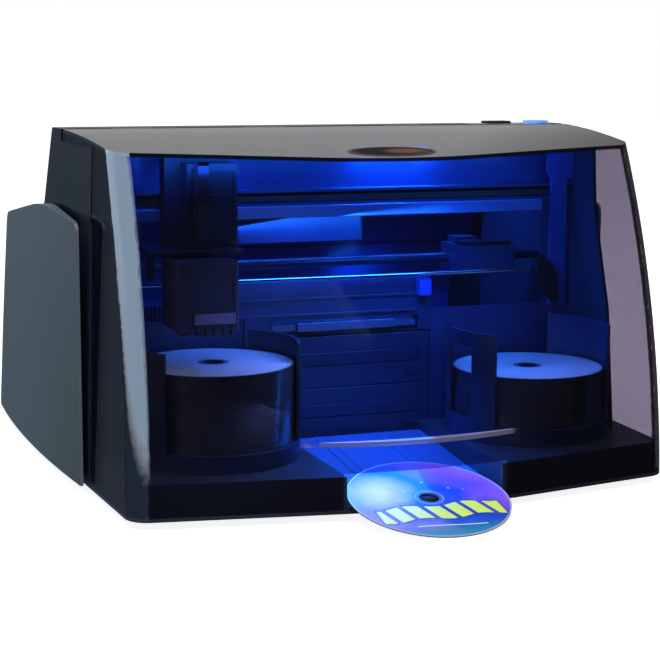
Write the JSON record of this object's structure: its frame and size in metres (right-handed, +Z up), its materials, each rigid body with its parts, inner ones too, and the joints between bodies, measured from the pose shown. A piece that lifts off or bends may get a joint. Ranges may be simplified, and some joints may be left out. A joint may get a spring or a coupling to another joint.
{
  "type": "disc label printer",
  "caption": "Desktop disc duplicator and label printer: two disc bins, a picker robot on a rail, disc drives and an ink printer under a hinged smoked cover, with a front disc chute.",
  "frame": {"origin": "middle of the bounding box's footprint, on the table under the feet", "axes": "+Z up, +Y from the front to the back, +X to the right seen from the front; X = 0 is the symmetry plane"},
  "size_m": [0.4722, 0.5199, 0.2738],
  "materials": {
    "black_plastic": "moulded black, fine grain",
    "side_plastic": "satin grey moulding",
    "housing_plastic": "moulded dark grey",
    "smoked_clear": "clear smoked acrylic, polished",
    "badge_metal": "brushed, bare",
    "steel_sheet": "plated sheet",
    "dark_sheet": "black paint",
    "polished_rod": "ground rod",
    "strip_plastic": "pale panel strip",
    "power_lens": "lit blue lens",
    "clear_button": "clear smoked cap",
    "circuit_board": "green board with parts",
    "motor_can": "drawn steel can",
    "pulley": "turned",
    "belt_rubber": "toothed belt",
    "tower_plastic": "glass-filled black",
    "bar_metal": "anodised bar",
    "head_plastic": "dark moulding",
    "gripper": "acetal",
    "ribbon": "flat white cable",
    "blue_panel": "blue-lit painted panel",
    "bin_plastic": "dark mauve-grey moulding",
    "disc_face": "white printable discs",
    "printed_face": null,
    "ramp_plastic": "blue slide",
    "bulkhead_sheet": "dark paint",
    "bezel_plastic": "drive front, black",
    "tray_plastic": "dark tray",
    "tray_bar": "pale blue bar",
    "sensor_lens": "lit blue block",
    "carriage_plastic": "dark moulding",
    "cartridge_plastic": "ink tank",
    "fan_plastic": "fan black",
    "foot_rubber": "soft foot",
    "screw_steel": "black zinc"
  },
  "bodies": {
    "base": {"base_tray": "black_plastic", "bin_left": "bin_plastic", "bin_right": "bin_plastic", "bottom_plate": "dark_sheet", "cable_guide": "black_plastic", "carriage_rail": "polished_rod", "case_screws": "screw_steel", "chute_ramp": "ramp_plastic", "control_board": "circuit_board", "control_plate": "strip_plastic", "disc_stack_left": "disc_face", "disc_stack_right": "disc_face", "drive_bezel_lower": "bezel_plastic", "drive_bezel_upper": "bezel_plastic", "drive_case_lower": "steel_sheet", "drive_case_upper": "steel_sheet", "drive_cradle": "steel_sheet", "fan_frame": "fan_plastic", "flex_ribbon": "ribbon", "front_bulkhead": "bulkhead_sheet", "guide_rod": "polished_rod", "hinge_rod": "polished_rod", "inner_plate_left": "dark_sheet", "inner_plate_right": "dark_sheet", "led_board": "circuit_board", "main_board": "circuit_board", "power_inlet": "black_plastic", "power_supply": "steel_sheet", "rail_beam": "dark_sheet", "rail_bracket_left": "dark_sheet", "rail_bracket_right": "dark_sheet", "rear_housing": "housing_plastic", "robot_belt": "belt_rubber", "robot_motor": "motor_can", "rubber_feet": "foot_rubber", "side_panel_left": "side_plastic", "side_panel_right": "side_plastic", "tie_rod": "polished_rod", "tray_bed": "carriage_plastic", "tray_sensor": "sensor_lens", "upper_panel": "blue_panel"},
    "cover": {"front_cover": "smoked_clear", "badge_plate": "badge_metal"},
    "power_key": {"power_button": "power_lens"},
    "reject_key": {"reject_button": "clear_button"},
    "robot": {"carriage_tower": "tower_plastic"},
    "picker": {"lift_bar": "bar_metal", "picker_head": "head_plastic"},
    "gripper": {"gripper_plunger": "gripper"},
    "drive_pulley": {"robot_drive_pulley": "pulley"},
    "idler_pulley": {"robot_idler_pulley": "pulley"},
    "lower_tray": {"drive_tray_lower": "tray_plastic"},
    "upper_tray": {"drive_tray_upper": "tray_plastic"},
    "lower_eject_key": {"eject_button_lower": "bezel_plastic"},
    "upper_eject_key": {"eject_button_upper": "bezel_plastic"},
    "label_tray": {"printer_tray": "tray_bar"},
    "print_head": {"print_carriage": "carriage_plastic", "ink_cartridges": "cartridge_plastic"},
    "fan_wheel": {"fan_rotor": "fan_plastic"},
    "ejected_disc": {"printed_disc": "printed_face"}
  },
  "joints": [
    {"name": "cover_hinge", "type": "hinge", "parent": "base", "child": "cover", "pos_m": [0, 0.01659, 0.2683], "axis": [-1, 0, 0], "range_deg": [0, 65]},
    {"name": "power_press", "type": "slide", "parent": "base", "child": "power_key", "axis": [0, 0, -1], "range_m": [0, 0.0015], "stiffness_N_per_m": 400, "springref_m": -0.001},
    {"name": "reject_press", "type": "slide", "parent": "base", "child": "reject_key", "axis": [0, 0, -1], "range_m": [0, 0.0015], "stiffness_N_per_m": 400, "springref_m": -0.001},
    {"name": "robot_travel", "type": "slide", "parent": "base", "child": "robot", "axis": [1, 0, 0], "range_m": [0, 0.262]},
    {"name": "picker_lift", "type": "slide", "parent": "robot", "child": "picker", "axis": [0, 0, 1], "range_m": [-0.024, 0]},
    {"name": "gripper_press", "type": "slide", "parent": "picker", "child": "gripper", "axis": [0, 0, 1], "range_m": [-0.003, 0]},
    {"name": "drive_pulley_spin", "type": "hinge", "parent": "base", "child": "drive_pulley", "pos_m": [-0.178, -0.03241, 0.218], "axis": [0, 0, 1], "range_deg": [0, 3137]},
    {"name": "idler_pulley_spin", "type": "hinge", "parent": "base", "child": "idler_pulley", "pos_m": [0.184, -0.03241, 0.218], "axis": [0, 0, 1], "range_deg": [0, 3137]},
    {"name": "lower_tray_slide", "type": "slide", "parent": "base", "child": "lower_tray", "axis": [0, -1, 0], "range_m": [0, 0.125]},
    {"name": "upper_tray_slide", "type": "slide", "parent": "base", "child": "upper_tray", "axis": [0, -1, 0], "range_m": [0, 0.125]},
    {"name": "lower_eject_press", "type": "slide", "parent": "base", "child": "lower_eject_key", "axis": [0, 1, 0], "range_m": [0, 0.001], "stiffness_N_per_m": 300, "springref_m": -0.0005},
    {"name": "upper_eject_press", "type": "slide", "parent": "base", "child": "upper_eject_key", "axis": [0, 1, 0], "range_m": [0, 0.001], "stiffness_N_per_m": 300, "springref_m": -0.0005},
    {"name": "label_tray_slide", "type": "slide", "parent": "base", "child": "label_tray", "axis": [0, -1, 0], "range_m": [0, 0.125]},
    {"name": "print_head_travel", "type": "slide", "parent": "base", "child": "print_head", "axis": [1, 0, 0], "range_m": [-0.21, 0.02]},
    {"name": "fan_spin", "type": "hinge", "parent": "base", "child": "fan_wheel", "pos_m": [0.06, 0.24759, 0.062], "axis": [0, 1, 0], "continuous": true},
    {"name": "disc_slide", "type": "slide", "parent": "base", "child": "ejected_disc", "axis": [0, 0.9781, 0.2079], "range_m": [0, 0.025]}
  ],
  "couplings": [
    {"joint": "drive_pulley_spin", "follows": "robot_travel", "rad_per_m": 208.33},
    {"joint": "idler_pulley_spin", "follows": "robot_travel", "rad_per_m": 208.33}
  ]
}
